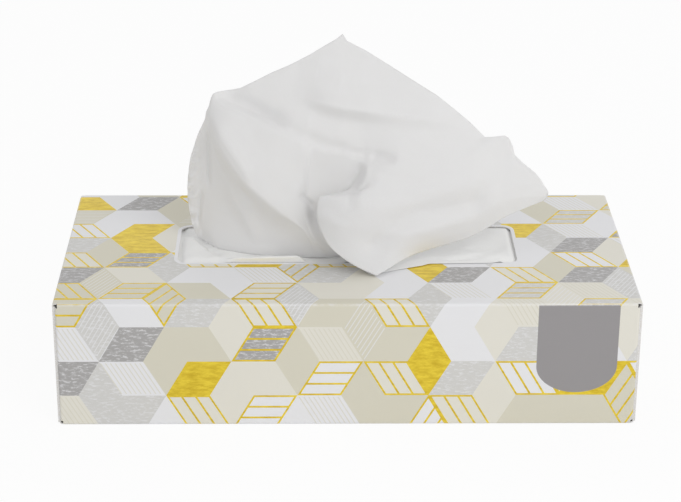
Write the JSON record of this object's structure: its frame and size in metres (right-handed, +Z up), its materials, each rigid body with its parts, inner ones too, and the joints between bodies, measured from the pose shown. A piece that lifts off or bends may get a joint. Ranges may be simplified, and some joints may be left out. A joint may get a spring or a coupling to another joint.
{
  "type": "tissue box",
  "caption": "Flat rectangular paperboard tissue carton with a rounded slot in its top, an interfolded stack inside and one sheet pulled up through the slot.",
  "frame": {"origin": "middle of the carton's underside", "axes": "+X along the carton's length, +Y from the front panel to the back panel, +Z up through the opening"},
  "size_m": [0.226, 0.111, 0.1396],
  "materials": {
    "printed_board": "printed paperboard with a light varnish",
    "tissue": "soft matt two-ply tissue"
  },
  "bodies": {
    "root": {"carton": "printed_board", "tissue_stack": "tissue", "next_tissue": "tissue", "pulled_tissue": "tissue"}
  },
  "joints": []
}
